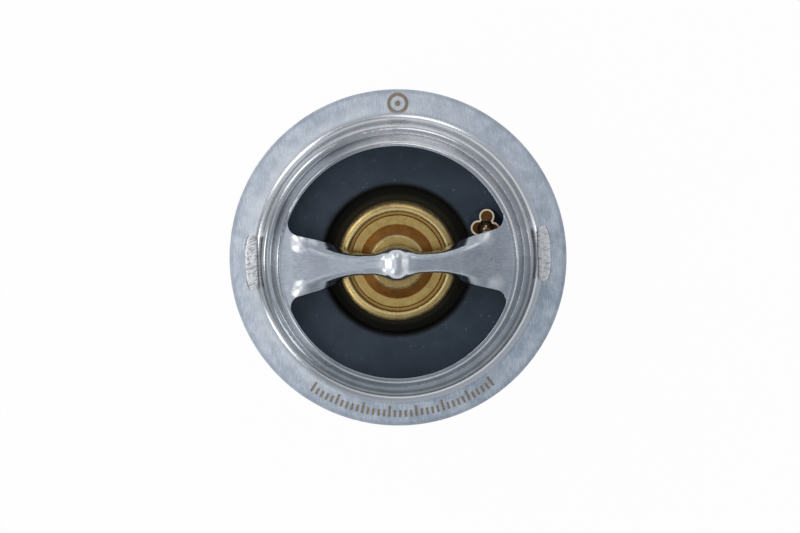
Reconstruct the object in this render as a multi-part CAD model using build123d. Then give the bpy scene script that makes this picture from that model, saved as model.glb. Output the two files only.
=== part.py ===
"""Wax-element engine thermostat, 67 mm flange, with bridge, ball vent and bypass valve.

Frame: millimetres, +Z up along the thermostat's axis, the bridge above and the bypass
valve below.  The origin is the centre of the bypass disc's flat rim, on which the part
stands.  The bridge runs along X.  Shapes are worked out at the flange, whose top face is
height 0 of every *_rise value, and are lifted to the frame when they are written.
"""
from build123d import *
from math import cos, pi, radians, sin, sqrt
import os

# ---------------------------------------------------------------- driving dimensions
# upper frame: flange, collar, seat, dome and bridge, drawn from one sheet
flange_radius = 33.5
frame_sheet = 1.2
collar_foot_radius = 27.2       # outside of the collar where it leaves the flange
collar_top_radius = 26.6
shoulder_rise = 7.2             # top of the shoulder, whose underside is the valve seat
shoulder_inner_radius = 24.9
dome_top_radius = 23.4
dome_rise = 12.6                # flat top of the dome, where the windows are punched
window_radius = 22.6
window_corner_radius = 2.3
flange_foot_fillet = 2.0
shoulder_fillet = 1.3
dome_fillet = 0.9
groove_fillet = 0.3

# bridge: the sheet folded into a channel over the piston, opening out into the dome's top
crest_rise = 16.9               # level top of the channel beside the nub
crest_level_reach = 4.5         # distance from the axis where the crest starts to fall
crest_foot_reach = 22.0         # and where it has come down to the dome's top
crest_bend = 0.15               # share of the fall that is taken by each of its two bends
narrow_lean = 1.5               # lean of the channel's legs from upright, degrees
root_lean = 88.5
opening_reach = 7.0             # distance from the axis where the legs start to open out
opening_end = 21.0
narrow_half_flat = 0.55         # half the flat top of the channel at its narrowest
root_half_flat = 5.5
flat_spread = 1.8               # power by which the flat top widens towards the root
narrow_fold = 1.45              # outside radius of the channel's two top folds
root_fold = 2.5
narrow_leg = 2.6                # length of a leg below its fold
root_leg = 2.0
wing_leg = 4.0                  # extra width that the window punch takes off at the root
wing_reach = 15.0
wing_spread = 4.0
punch_clearance = 0.4           # the punch stays this far outside the folded legs
swell_height = 0.6              # the channel widens and rises gently towards the nub
swell_start = 0.5               # level part of the swell, beside the nub
swell_reach = 4.6
swell_fold = 2.75
nub_height = 1.1                # nub over the piston's tip, the highest point of the part
nub_start = 0.3                 # level part of the nub's top
nub_reach = 2.5
strap_overlap = 0.3             # the bridge reaches this far into the dome's top

# piston
piston_radius = 2.25
piston_step = 0.75              # the piston's tip is this much slimmer in radius
piston_shoulder_rise = 10.4     # where the piston steps down to its tip
piston_shoulder_slope = 0.5
piston_edge = 0.3
socket_clearance = 0.05
nub_wall = 1.05

# lower frame: strap stamping whose two tabs are staked over the flange
strap_sheet = 2.0
tab_radius = 29.05              # middle of the tab's thickness from the axis
tab_width = 10.0
tab_clearance = 0.1
tab_foot = 1.0                  # the tab reaches this far down into its arm
stake_width = 10.9
stake_thickness = 2.6
stake_rise = 0.4
stake_corner = 1.1
stake_edge = 0.15
arm_width = 15.0
arm_straight = 5.5              # upright run of each arm under the flange
arm_shoulder_fillet = 3.0
arm_knee_fillet = 4.0
arm_root_fillet = 5.0           # in plan, where an arm leaves the round base
base_margin = 3.5               # base beyond the main spring's lowest turn
base_depth = 24.0               # spring side of the base below the flange's top face
guide_clearance = 0.3
guide_lip_rise = 2.4
guide_lip_wall = 1.4
guide_lip_root = 0.2

# thermostatic element
cup_radius = 9.6
cup_wall = 0.8
cup_bottom_depth = 27.5
head_overhang = 2.0             # the head stands out from the cup by this much
head_lip = 1.9                  # width of the rim rolled over the cover
cup_foot_fillet = 1.5
head_shoulder_fillet = 0.3
head_corner_fillet = 1.1
head_roll_fillet = 1.3
head_lip_round = 0.5
cover_rise = 8.6                # flat ring of the cover
cover_thickness = 3.3
cover_cone = 2.1                # the cone is this much wider than the boss
boss_wall = 2.95                # boss beyond the piston
boss_rise = 10.9
boss_edge = 0.25
cover_groove_width = 0.75       # groove that the cover keeps inside the rolled rim
cover_groove_depth = 0.4
running_clearance = 0.05
packing_wall = 2.05             # pocket in the cover, beyond the piston
guide_seal_height = 1.0
boot_washer_height = 0.8
boot_flange_height = 1.8
boot_wall = 2.35                # rubber boot beyond the piston
boot_bottom_wall = 2.0
boot_foot_edge = 1.0
piston_depth = 18.0             # lower end of the piston below the flange's top face
boot_clearance = 0.1

# valve disc: steel plate with a bonded rubber facing
plate_sheet = 1.0
skin_thickness = 0.5
plate_radius = 24.1
seal_radius = 25.2
seal_edge = 0.1
seal_wrap = 2.0                 # width of the rubber wrapped under the plate's edge
seal_clearance = 0.05
well_gap = 2.8                  # well round the element's head
hub_rise = 2.7                  # the plate's ring that the element's head sits on
hub_clearance = 0.35
well_floor_fillet = 0.8
well_rim_fillet = 1.2

# ball vent in the valve disc
vent_distance = 18.7
vent_angle = 20.6
vent_turn = -8.0                # the three lobes are turned this far about the vent's axis
vent_lobe_reach = 1.6
vent_lobe_radius = 1.5          # outside of a lobe
vent_waist_radius = 1.55        # outside of the rim between two lobes
vent_waist_blend = 10           # how sharply a lobe runs into the waist
vent_rise = 2.4                 # top of the crimped rim above the valve face
vent_crimp_start = 0.3
vent_crimp_end = 1.5
vent_tube_radius = 3.15
vent_tube_wall = 0.4
vent_rivet = 0.35
vent_rivet_height = 0.7
vent_floor_drop = 3.2           # floor of the ball's chamber below the valve face
vent_floor_wall = 0.6
vent_hole_radius = 0.7
vent_ball_radius = 1.6
vent_ball_shift = 1.0           # the loose ball lies this far off the chamber's axis
vent_ball_gap = 0.02

# main spring
main_wire = 2.4
main_gap = 1.6                  # top turn's inside beyond the cup
main_flare = 3.6                # the bottom turn is this much wider than the top one
main_turns = 3.5

# bypass valve
bypass_depth = 46.0             # flat rim of the bypass disc below the flange's top face
bypass_radius = 17.0
bypass_sheet = 1.2
bypass_hub_radius = 8.6
bypass_rim_inner_radius = 12.4
bypass_hub_height = 5.4         # top of the disc's hub above its rim's underside
bypass_hub_fillet = 1.5
bypass_rim_fillet = 1.0
stem_radius = 3.0
stem_head_margin = 0.6          # the stem's head is this much smaller than the cup
stem_head_height = 1.2
stem_end_gap = 0.9              # the stem's end stays this far inside the disc's hollow
stem_end_edge = 0.5
stem_clearance = 0.08
stop_washer_width = 2.6
stop_washer_height = 0.8
clip_width = 1.6                # the retaining ring stands out from the stem by this much
clip_height = 0.9
clip_groove_depth = 0.7
clip_gap_angle = 70.0
clip_corner = 0.5
bypass_wire = 1.4
bypass_spring_radius = 6.8
bypass_turns = 3.0

# ---------------------------------------------------------------- worked out from them
nub_rise = crest_rise + swell_height + nub_height
seat_rise = shoulder_rise - frame_sheet
valve_face_rise = seat_rise     # the closed valve's rubber lies on its seat
plate_rise = valve_face_rise - skin_thickness
strap_root_reach = window_radius + strap_overlap
piston_tip_radius = piston_radius - piston_step
socket_radius = piston_tip_radius + socket_clearance
socket_rise = nub_rise - nub_wall
cup_bottom = -cup_bottom_depth
head_radius = cup_radius + head_overhang
head_lip_radius = head_radius - head_lip
head_inner_radius = head_radius - cup_wall
boss_radius = piston_radius + boss_wall
cover_cone_radius = boss_radius + cover_cone
packing_radius = piston_radius + packing_wall
boot_radius = piston_radius + boot_wall
cover_bottom_rise = cover_rise - cover_thickness
boot_flange_rise = cover_bottom_rise - boot_flange_height
well_radius = head_radius + well_gap
vent_rivet_radius = vent_tube_radius + vent_rivet
vent_chamber_radius = vent_tube_radius - vent_tube_wall
main_top_radius = cup_radius + main_gap + main_wire / 2
main_bottom_radius = main_top_radius + main_flare
main_seat_rise = hub_rise - plate_sheet
base_radius = main_bottom_radius + base_margin
base_rise = -base_depth
bypass_bottom = -bypass_depth
bypass_hub_rise = bypass_bottom + bypass_hub_height
stem_head_radius = cup_radius - stem_head_margin
stem_head_bottom = cup_bottom - stem_head_height
stop_washer_radius = stem_radius + stop_washer_width
clip_radius = stem_radius + clip_width
clip_groove_radius = stem_radius - clip_groove_depth
STANDING = (Align.CENTER, Align.CENTER, Align.MIN)


# ---------------------------------------------------------------- helpers
def turned(profile):
    """Revolve a profile drawn as (radius, height) about the thermostat's axis."""
    return revolve(Plane.XZ * profile, Axis.Z)


def outline(*points):
    """Face inside a closed outline of straight edges."""
    return make_face(Polyline(*points, close=True))


def ring(inner, outer, low, high):
    """Plain ring between two radii and two heights."""
    return turned(outline((inner, low), (outer, low), (outer, high), (inner, high)))


def bent_sheet(points, fillets, thickness, side):
    """Section of a sheet bent along a line, with the thickness laid on one side of it."""
    line = FilletPolyline(*points, radius=fillets)
    return make_face(line.offset_2d(thickness, side=side).edges())


def eased(value, low, high):
    """Smooth share from 0 at low to 1 at high, level at both ends."""
    share = min(max((value - low) / (high - low), 0), 1)
    return share * share * (3 - 2 * share)


def coil_spring(wire, radii, ends, turns):
    """Compression spring between two seats, with one closed turn at each end."""
    low, high = ends
    closed_turns = 1.0
    points_per_turn = 8
    first = low + wire / 2
    rise = (high - low) - wire - 2 * closed_turns * wire
    points = []
    for step in range(int((turns + 2 * closed_turns) * points_per_turn) + 1):
        turn = step / points_per_turn
        share = min(max((turn - closed_turns) / turns, 0), 1)
        end_turns = min(turn, closed_turns) + max(turn - closed_turns - turns, 0)
        radius = radii[0] + (radii[1] - radii[0]) * share
        height = first + wire * end_turns + rise * share
        points.append((radius * cos(2 * pi * turn), radius * sin(2 * pi * turn), height))
    path = Spline(*points)
    return sweep(Plane(path @ 0, z_dir=path % 0) * Circle(wire / 2), path, is_frenet=True)


# ---------------------------------------------------------------- upper frame
def straight_fall(reach):
    """Share of the crest's fall at a distance from the axis: straight, bent at both ends."""
    share = (reach - crest_level_reach) / (crest_foot_reach - crest_level_reach)
    share = min(max(share, 0), 1)
    bend = 2 * crest_bend * (1 - crest_bend)
    if share < crest_bend:
        return share ** 2 / bend
    if share > 1 - crest_bend:
        return 1 - (1 - share) ** 2 / bend
    return (share - crest_bend / 2) / (1 - crest_bend)


def strap_station(reach):
    """Half flat, fold radius, lean, leg and crest height of the bridge at a distance along it."""
    reach = abs(reach)
    opening = eased(reach, opening_reach, opening_end)
    spread = max((reach - opening_reach) / (strap_root_reach - opening_reach), 0)
    half_flat = narrow_half_flat + (root_half_flat - narrow_half_flat) * spread ** flat_spread
    swell = 1 - eased(reach, swell_start, swell_reach)
    fold = narrow_fold + (root_fold - narrow_fold) * opening + (swell_fold - narrow_fold) * swell
    lean = radians(narrow_lean + (root_lean - narrow_lean) * opening)
    leg = narrow_leg + (root_leg - narrow_leg) * eased(reach, opening_reach, wing_reach)
    crest = crest_rise - (crest_rise - dome_rise) * straight_fall(reach)
    crest += swell_height * swell + nub_height * (1 - eased(reach, nub_start, nub_reach))
    return half_flat, fold, lean, leg, crest


def strap_half_width(reach):
    """Half the width of the bridge in plan, out to the ends of its legs."""
    half_flat, fold, lean, leg, _ = strap_station(reach)
    return half_flat + fold * cos(lean) + leg * sin(lean)


def strap_section(reach):
    """Section across the bridge's sheet: flat crest, two folds and two legs."""
    half_flat, fold, lean, leg, crest = strap_station(reach)
    leg += wing_leg * eased(abs(reach), wing_reach, wing_reach + wing_spread)
    middle = (pi / 2 + lean) / 2
    sides = []
    for depth in (0, frame_sheet):
        radius, top = fold - depth, crest - depth
        start = Vector(half_flat, top)
        halfway = Vector(half_flat + radius * cos(middle), top - radius * (1 - sin(middle)))
        bend = Vector(half_flat + radius * cos(lean), top - radius * (1 - sin(lean)))
        end = bend + Vector(sin(lean), -cos(lean)) * leg
        sides.append((start, halfway, bend, end))
    edges = []
    for start, halfway, bend, end in sides:
        for flip in (1, -1):
            ends = [(flip * point.X, point.Y) for point in (start, halfway, bend, end)]
            edges += [ThreePointArc(*ends[:3]), Line(ends[2], ends[3])]
        edges.append(Line((-start.X, start.Y), (start.X, start.Y)))
    skin_end, inner_end = sides[0][3], sides[1][3]
    for flip in (1, -1):
        edges.append(Line((flip * skin_end.X, skin_end.Y), (flip * inner_end.X, inner_end.Y)))
    return Plane((reach, 0, 0), x_dir=(0, 1, 0), z_dir=(1, 0, 0)) * make_face(edges)


def strap():
    """The bridge, lofted through its sections and cut round where it enters the dome."""
    steps = 20
    reaches = [strap_root_reach * step / steps for step in range(-steps, steps + 1)]
    body = loft([strap_section(reach) for reach in reaches])
    return body & Cylinder(strap_root_reach, 2 * nub_rise, align=STANDING)


def windows():
    """The two D-shaped windows, with rounded corners where the bridge leaves the dome."""
    steps = 8
    side = []
    for step in range(steps + 1):
        reach = strap_root_reach * step / steps
        clear = punch_clearance * (1 - eased(reach, opening_reach, wing_reach))
        side.append((reach, strap_half_width(reach) + clear))
    right = Spline(*side, tangents=[(1, 0), (1, 1)])
    left = mirror(right, Plane.YZ)
    far = window_radius + strap_overlap
    corner = right @ 1
    closing = Polyline(corner, (corner.X, far), (-corner.X, far), (-corner.X, corner.Y))
    window = make_face(right.edges() + left.edges() + closing.edges()) & Circle(window_radius)
    corners = window.vertices().sort_by(lambda v: -abs(v.X))[0:2]
    window = fillet(corners, window_corner_radius)
    return window + mirror(window, Plane.XZ)


def tab_place(side):
    """Place of a staked tab, at one side of the flange or the other."""
    return Rot(0, 0, side) * Pos(tab_radius, 0, 0)


def stake_plan():
    """Plan of the metal that is staked over the flange at the top of a tab."""
    return RectangleRounded(stake_thickness, stake_width, stake_corner)


def upper_frame():
    """Flange, collar, seat, dome, bridge and nub, drawn from one sheet."""
    skin = [(flange_radius, 0), (collar_foot_radius, 0), (collar_top_radius, shoulder_rise),
            (shoulder_inner_radius, shoulder_rise), (dome_top_radius, dome_rise),
            (window_radius, dome_rise)]
    fillets = [flange_foot_fillet, shoulder_fillet, groove_fillet, dome_fillet]
    shell = turned(bent_sheet(skin, fillets, frame_sheet, Side.LEFT))
    socket_height = socket_rise - socket_radius
    socket = Pos(0, 0, socket_height) * Sphere(socket_radius)
    socket += Cylinder(socket_radius, socket_height, align=STANDING)
    slot = Box(strap_sheet + 2 * tab_clearance, tab_width + 2 * tab_clearance, 4 * frame_sheet)
    seat = extrude(stake_plan(), flange_foot_fillet)
    body = shell + (strap() - extrude(windows(), nub_rise)) - socket
    for side in (0, 180):
        body -= tab_place(side) * (slot + seat)
    return body


# ---------------------------------------------------------------- lower frame and piston
def lower_frame():
    """Strap stamping that carries the main spring and hangs by two staked tabs."""
    outside = tab_radius + strap_sheet / 2
    knee = -frame_sheet - arm_straight
    bottom = base_rise - strap_sheet
    foot = base_radius + strap_sheet / 2
    side_line = [(outside, -frame_sheet), (outside, knee), (foot, bottom),
                 (-foot, bottom), (-outside, knee), (-outside, -frame_sheet)]
    bends = [arm_shoulder_fillet, arm_knee_fillet, arm_knee_fillet, arm_shoulder_fillet]
    profile = bent_sheet(side_line, bends, strap_sheet, Side.RIGHT)
    strap_body = extrude(Plane.XZ * profile, foot, both=True)
    plan = Circle(base_radius) + Rectangle(2 * outside, arm_width)
    corners = plan.vertices().filter_by(lambda v: Vector(v.X, v.Y).length < foot)
    plan = fillet(corners, arm_root_fillet)
    strap_body &= extrude(Pos(0, 0, bottom) * plan, -bottom)
    bore = cup_radius + guide_clearance
    strap_body += ring(bore - guide_lip_root, bore + guide_lip_wall, bottom, base_rise + guide_lip_rise)
    strap_body -= Pos(0, 0, bottom) * Cylinder(bore, base_depth, align=STANDING)
    tab_top = (Align.CENTER, Align.CENTER, Align.MAX)
    tab = Box(strap_sheet, tab_width, frame_sheet + tab_foot, align=tab_top)
    stake = extrude(stake_plan(), stake_rise)
    stake = chamfer(stake.edges().group_by(Axis.Z)[-1], stake_edge)
    for side in (0, 180):
        strap_body += tab_place(side) * (tab + stake)
    return strap_body


def piston():
    """Piston, stepped down to the tip that stands in the bridge's nub."""
    tip_height = socket_rise - piston_tip_radius
    profile = outline((0, -piston_depth), (piston_radius - piston_edge, -piston_depth),
                      (piston_radius, piston_edge - piston_depth), (piston_radius, piston_shoulder_rise),
                      (piston_tip_radius, piston_shoulder_rise + piston_shoulder_slope),
                      (piston_tip_radius, tip_height), (0, tip_height))
    return turned(profile) + Pos(0, 0, tip_height) * Sphere(piston_tip_radius)


# ---------------------------------------------------------------- thermostatic element
def element_cup():
    """Drawn brass cup, its head rolled over the cover."""
    head_top = cover_rise + cup_wall
    skin = [(0, cup_bottom), (cup_radius, cup_bottom), (cup_radius, hub_rise),
            (head_radius, hub_rise), (head_radius, head_top), (head_lip_radius, head_top)]
    fillets = [cup_foot_fillet, head_shoulder_fillet, head_corner_fillet, head_roll_fillet]
    section = bent_sheet(skin, fillets, cup_wall, Side.LEFT)
    lip_edge = section.vertices().sort_by(lambda v: abs(v.X - head_lip_radius) + head_top - v.Y)[0]
    return turned(fillet(lip_edge, head_lip_round))


def element_cover():
    """Brass cover with the cone and boss that guide the piston."""
    bore = piston_radius + running_clearance
    pocket_top = cover_bottom_rise + boot_washer_height + guide_seal_height
    roll = head_roll_fillet - cup_wall
    groove_rise = cover_rise - cover_groove_depth
    groove_radius = head_lip_radius - cover_groove_width
    profile = outline((bore, pocket_top), (bore, boss_rise), (boss_radius - boss_edge, boss_rise),
                      (boss_radius, boss_rise - boss_edge), (cover_cone_radius, cover_rise),
                      (groove_radius, cover_rise), (groove_radius + cover_groove_depth / 2, groove_rise),
                      (head_lip_radius, groove_rise), (head_lip_radius, cover_rise),
                      (head_inner_radius - roll, cover_rise), (head_inner_radius, cover_rise - roll),
                      (head_inner_radius, cover_bottom_rise), (packing_radius, cover_bottom_rise),
                      (packing_radius, pocket_top))
    return turned(profile)


def guide_seal():
    """Rubber ring that wipes the piston under the boss."""
    low = cover_bottom_rise + boot_washer_height
    return ring(piston_radius + running_clearance, packing_radius, low, low + guide_seal_height)


def boot_washer():
    """Plastic washer that keeps the boot from creeping up the piston."""
    high = cover_bottom_rise + boot_washer_height
    return ring(piston_radius + boot_clearance, packing_radius, cover_bottom_rise, high)


def boot_foot():
    """Closed lower end of the boot, from its side in to the axis."""
    foot = -piston_depth - boot_clearance - boot_bottom_wall
    return [(boot_radius, foot + boot_foot_edge), (boot_radius - boot_foot_edge, foot), (0, foot)]


def rubber_boot():
    """Rubber sleeve around the piston, its flange clamped under the cover."""
    bore = piston_radius + boot_clearance
    bore_bottom = -piston_depth - boot_clearance
    corner = head_corner_fillet - cup_wall
    profile = outline(*reversed(boot_foot()), (boot_radius, boot_flange_rise),
                      (head_inner_radius - corner, boot_flange_rise),
                      (head_inner_radius, boot_flange_rise + corner),
                      (head_inner_radius, cover_bottom_rise), (bore, cover_bottom_rise),
                      (bore, bore_bottom), (0, bore_bottom))
    return turned(profile)


def wax_charge():
    """Wax between the boot and the cup, which pushes the piston out as it melts."""
    wax_radius = cup_radius - cup_wall
    floor = cup_bottom + cup_wall
    corner = cup_foot_fillet - cup_wall
    profile = outline((0, floor), (wax_radius - corner, floor), (wax_radius, floor + corner),
                      (wax_radius, boot_flange_rise), (boot_radius, boot_flange_rise), *boot_foot())
    return turned(profile)


# ---------------------------------------------------------------- valve disc
def vent_place():
    """Axis of the ball vent, off the middle of the valve disc."""
    angle = radians(vent_angle)
    return Pos(vent_distance * cos(angle), vent_distance * sin(angle), 0)


def vent_hole():
    """Through hole for the vent's tube, up from under the disc."""
    return vent_place() * Cylinder(vent_tube_radius, 2 * valve_face_rise, align=STANDING)


def plate_line(start):
    """Upper surface of the steel plate, from a radius on the hub to the plate's edge."""
    well = well_radius + skin_thickness
    return [(start, hub_rise), (well, hub_rise), (well, plate_rise), (plate_radius, plate_rise)]


def valve_plate():
    """Pressed steel disc with a well and a hub ring for the element's head."""
    line = plate_line(cup_radius + hub_clearance)
    section = bent_sheet(line, [well_floor_fillet, well_rim_fillet], plate_sheet, Side.RIGHT)
    spot_face = vent_place() * Cylinder(vent_rivet_radius, plate_rise - plate_sheet, align=STANDING)
    return turned(section) - vent_hole() - spot_face


def valve_seal():
    """Rubber facing bonded over the plate and wrapped round its edge."""
    line = plate_line(head_radius + seal_clearance)
    skin = bent_sheet(line, [well_floor_fillet, well_rim_fillet], skin_thickness, Side.LEFT)
    under = plate_rise - plate_sheet
    wrap_radius = seal_radius - seal_wrap
    rim = outline((plate_radius, valve_face_rise), (seal_radius - seal_edge, valve_face_rise),
                  (seal_radius, valve_face_rise - seal_edge), (seal_radius, under),
                  (seal_radius - seal_edge, under - skin_thickness), (wrap_radius, under - skin_thickness),
                  (wrap_radius, under), (plate_radius, under))
    return turned(skin + rim) - vent_hole()


def vent_lobes(inward):
    """Closed outline of the vent's crimped rim: three lobes with waists between them."""
    steps = 48
    lobe = vent_lobe_radius - inward
    waist = vent_waist_radius - inward
    points = []
    for step in range(steps):
        turn = 2 * pi * step / steps
        off_lobe = (turn + pi / 2) % (2 * pi / 3) - pi / 3
        across = vent_lobe_reach * sin(off_lobe)
        lobe_edge = vent_lobe_reach * cos(off_lobe) + sqrt(max(lobe ** 2 - across ** 2, 0))
        reach = (lobe_edge ** vent_waist_blend + waist ** vent_waist_blend) ** (1 / vent_waist_blend)
        points.append((reach * cos(turn), reach * sin(turn)))
    return make_face(Spline(*points, periodic=True))


def vent_crimp(inward):
    """Upper end of the vent, from the round tube up to the lobed rim."""
    foot = Pos(0, 0, valve_face_rise + vent_crimp_start) * Circle(vent_tube_radius - inward)
    waist = Pos(0, 0, valve_face_rise + vent_crimp_end) * vent_lobes(inward)
    rim = Pos(0, 0, valve_face_rise + vent_rise) * vent_lobes(inward)
    return loft([foot, waist, rim], ruled=True)


def vent_body():
    """Vent tube through the disc, with its rim crimped to three lobes over the ball."""
    floor = valve_face_rise - vent_floor_drop
    under = plate_rise - plate_sheet
    crimp = valve_face_rise + vent_crimp_start
    foot = floor - vent_floor_wall
    rivet_foot = under - vent_rivet_height
    profile = outline((vent_hole_radius, foot), (vent_tube_radius, foot), (vent_tube_radius, rivet_foot),
                      (vent_rivet_radius, rivet_foot), (vent_rivet_radius, under),
                      (vent_tube_radius, under), (vent_tube_radius, crimp), (vent_chamber_radius, crimp),
                      (vent_chamber_radius, floor), (vent_hole_radius, floor))
    top = vent_crimp(0) - vent_crimp(vent_tube_wall)
    return vent_place() * (turned(profile) + Rot(0, 0, vent_turn) * top)


def vent_ball():
    """Loose steel ball, lying at one side of its chamber."""
    height = valve_face_rise - vent_floor_drop + vent_ball_gap + vent_ball_radius
    return vent_place() * Pos(0, -vent_ball_shift, height) * Sphere(vent_ball_radius)


# ---------------------------------------------------------------- springs
def main_spring():
    """Conical spring that holds the valve disc on its seat."""
    radii = (main_bottom_radius, main_top_radius)
    return coil_spring(main_wire, radii, (base_rise, main_seat_rise), main_turns)


def bypass_spring():
    """Spring that lets the bypass disc give once it has closed its port."""
    radii = (bypass_spring_radius, bypass_spring_radius)
    return coil_spring(bypass_wire, radii, (bypass_hub_rise, stem_head_bottom), bypass_turns)


# ---------------------------------------------------------------- bypass valve
def bypass_stem():
    """Headed pin brazed under the cup, grooved for the retaining ring."""
    groove_top = bypass_hub_rise - bypass_sheet - stop_washer_height
    groove_foot = groove_top - clip_height
    end = bypass_bottom + stem_end_gap
    profile = outline((0, end), (stem_radius - stem_end_edge, end), (stem_radius, end + stem_end_edge),
                      (stem_radius, groove_foot), (clip_groove_radius, groove_foot),
                      (clip_groove_radius, groove_top), (stem_radius, groove_top),
                      (stem_radius, stem_head_bottom), (stem_head_radius, stem_head_bottom),
                      (stem_head_radius, cup_bottom), (0, cup_bottom))
    return turned(profile)


def bypass_disc():
    """Dished steel disc that closes the bypass port and slides on the stem."""
    bore = stem_radius + stem_clearance
    top = bypass_bottom + bypass_sheet
    line = [(bore, bypass_hub_rise), (bypass_hub_radius, bypass_hub_rise),
            (bypass_rim_inner_radius, top), (bypass_radius, top)]
    return turned(bent_sheet(line, [bypass_hub_fillet, bypass_rim_fillet], bypass_sheet, Side.RIGHT))


def stop_washer():
    """Washer between the bypass disc and the retaining ring."""
    high = bypass_hub_rise - bypass_sheet
    return ring(stem_radius + stem_clearance, stop_washer_radius, high - stop_washer_height, high)


def retaining_ring():
    """Open ring sprung into the stem's groove."""
    high = bypass_hub_rise - bypass_sheet - stop_washer_height
    gap_half = radians(clip_gap_angle / 2)
    far = 2 * clip_radius
    wedge = make_face(Polyline((0, 0), (far * cos(gap_half), far * sin(gap_half)),
                               (far * cos(gap_half), -far * sin(gap_half)), close=True))
    plan = Circle(clip_radius) - Circle(clip_groove_radius) - wedge
    plan = fillet(plan.vertices(), clip_corner)
    return extrude(Pos(0, 0, high - clip_height) * plan, clip_height)


PARTS = {
    "upper_frame": upper_frame,
    "lower_frame": lower_frame,
    "piston": piston,
    "element_cup": element_cup,
    "element_cover": element_cover,
    "guide_seal": guide_seal,
    "boot_washer": boot_washer,
    "rubber_boot": rubber_boot,
    "wax_charge": wax_charge,
    "valve_plate": valve_plate,
    "valve_seal": valve_seal,
    "vent_body": vent_body,
    "vent_ball": vent_ball,
    "main_spring": main_spring,
    "bypass_stem": bypass_stem,
    "bypass_spring": bypass_spring,
    "bypass_disc": bypass_disc,
    "stop_washer": stop_washer,
    "retaining_ring": retaining_ring,
}

if __name__ == "__main__":
    os.makedirs("parts", exist_ok=True)
    for name, make in PARTS.items():
        export_step(Pos(0, 0, bypass_depth) * make(), f"parts/{name}.step")
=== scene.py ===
"""Looks of a wax-element engine thermostat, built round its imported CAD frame.

Blender works in metres. Names that end in _MM hold millimetres, every material reads its
place on the object in millimetres, and the scales of noise are per millimetre. Colours are
linear, and a pair of them is a dark and a light tone that noise moves between.
"""
import math
import bpy
import bmesh
from mathutils import Matrix, Vector, noise

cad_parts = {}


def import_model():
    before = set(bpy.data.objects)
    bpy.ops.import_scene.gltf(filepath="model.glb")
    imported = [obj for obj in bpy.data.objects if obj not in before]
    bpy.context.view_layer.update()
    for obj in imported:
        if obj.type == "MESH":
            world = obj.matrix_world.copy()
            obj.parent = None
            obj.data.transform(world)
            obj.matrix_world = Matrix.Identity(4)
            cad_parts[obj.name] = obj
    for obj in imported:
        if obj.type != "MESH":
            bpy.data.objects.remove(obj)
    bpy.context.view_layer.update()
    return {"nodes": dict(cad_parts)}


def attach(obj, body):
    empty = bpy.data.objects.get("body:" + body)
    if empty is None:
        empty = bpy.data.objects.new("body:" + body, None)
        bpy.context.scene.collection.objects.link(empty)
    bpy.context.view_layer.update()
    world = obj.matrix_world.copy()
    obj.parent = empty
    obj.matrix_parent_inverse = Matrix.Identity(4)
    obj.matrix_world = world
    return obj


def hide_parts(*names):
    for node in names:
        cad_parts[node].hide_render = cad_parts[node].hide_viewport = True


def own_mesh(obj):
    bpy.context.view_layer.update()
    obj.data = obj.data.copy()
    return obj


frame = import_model()

MM = 0.001

# ---------------------------------------------------------------- places on the object
FLANGE_TOP_MM = 46.0
FLANGE_LEVELS_MM = (-1.4, 0.35)         # from under the flange to just over its top face
FLANGE_START_MM = (28.2, 29.4)          # the collar's foot runs out into the flat
COLLAR_HIGHLIGHT_MM = (28.6, 31.2)                # painted highlight on the flange beside the collar, strongest towards the lamps
FLANGE_RIM_MM = (32.5, 33.0)
FOOT_MM = (27.6, 28.9)                  # painted highlight in a ring at the foot of the collar
SHOULDER_MM = (25.2, 26.4)              # from the dome's wall out to the collar's
WINDOW_RADIUS_MM = 22.6
WINDOW_FADE_MM = 0.3
BAND_MM = (4.0, 13.0)                   # straight part of the bridge, each side of the nub
# reach of the painted highlight on the nub
NUB_MM = (2.2, 4.6)
NUB_EDGE_MM = (3.2, 5.2)                # inside it the edges are rounder than on the bridge
CORNER_LIFTS_AND_HIGHLIGHTS = (
    # place in millimetres, and share of the full lift and of the painted highlight
    (-18.9, 4.6, 1.0), (-18.9, -4.6, 1.0), (19.2, -4.6, 0.7), (17.4, 4.0, 0.5),
)
CORNER_FADE_MM = (0.1, 2.3)
WELL_RADIUS_MM = 14.4
HEAD_RADIUS_MM = 11.6
HEAD_ROLL_MM = (HEAD_RADIUS_MM - 1.2, HEAD_RADIUS_MM - 0.3)
HEAD_CROWN_MM = (HEAD_RADIUS_MM - 1.6, HEAD_RADIUS_MM - 1.15)
LIP_RADIUS_MM = 9.7
GROOVE_MM = (LIP_RADIUS_MM - 0.75, LIP_RADIUS_MM)
CONE_RADIUS_MM = 7.3
BOSS_RADIUS_MM = 5.2
BOSS_EDGE_MM = (BOSS_RADIUS_MM - 0.24, BOSS_RADIUS_MM + 0.10)
COVER_MM = 8.6
BOSS_TOP_MM = 10.9
VENT_RIM_MM = 8.4
VENT_MIDDLE_MM = (17.50, 6.58)
VENT_TURN = -8.0                        # degrees
VENT_LOBES = 3
VENT_REACH_MM = 1.6
VENT_LOBE_MM = 1.5
VENT_WAIST_MM = 1.55
TAB_RADIUS_MM = 29.05                   # middle of each staked tab
STAKE_SIZE_MM = (2.6, 10.9)             # across and along
STAKE_RISE_MM = 0.4
STAKE_TAPER = 0.7                       # share of the half width, lost at the ends
SIDES_MM = (-5.0, 5.0)                  # from the left stake's colour to the right one's, which is painted lighter as painted light
BASE_SEAT_MM = 22.0
DISC_SEAT_MM = 47.7
BYPASS_HUB_MM = 5.4
STEM_HEAD_MM = 17.3
RING_PLACE_MM = (1.0, 30.7)             # etched ring, with a dot in its middle
RING_MM = (1.42, 2.12)
DOT_MM = (0.45, 0.7)
SCALE_DEGREES = (-126.0, -54.0)         # etched scale, along the front of the flange
SCALE_PITCH_DEGREES = 2.0
TICK_SHARE = (0.27, 0.73)               # part of each pitch that the tick fills
TICK_INNER_MM = 30.4
TICK_OUTER_MM = (31.7, 31.9)
TICK_GROUP = 5                          # each fifth tick is longer by the next number
LONGER_TICK_MM = 0.8

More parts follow.
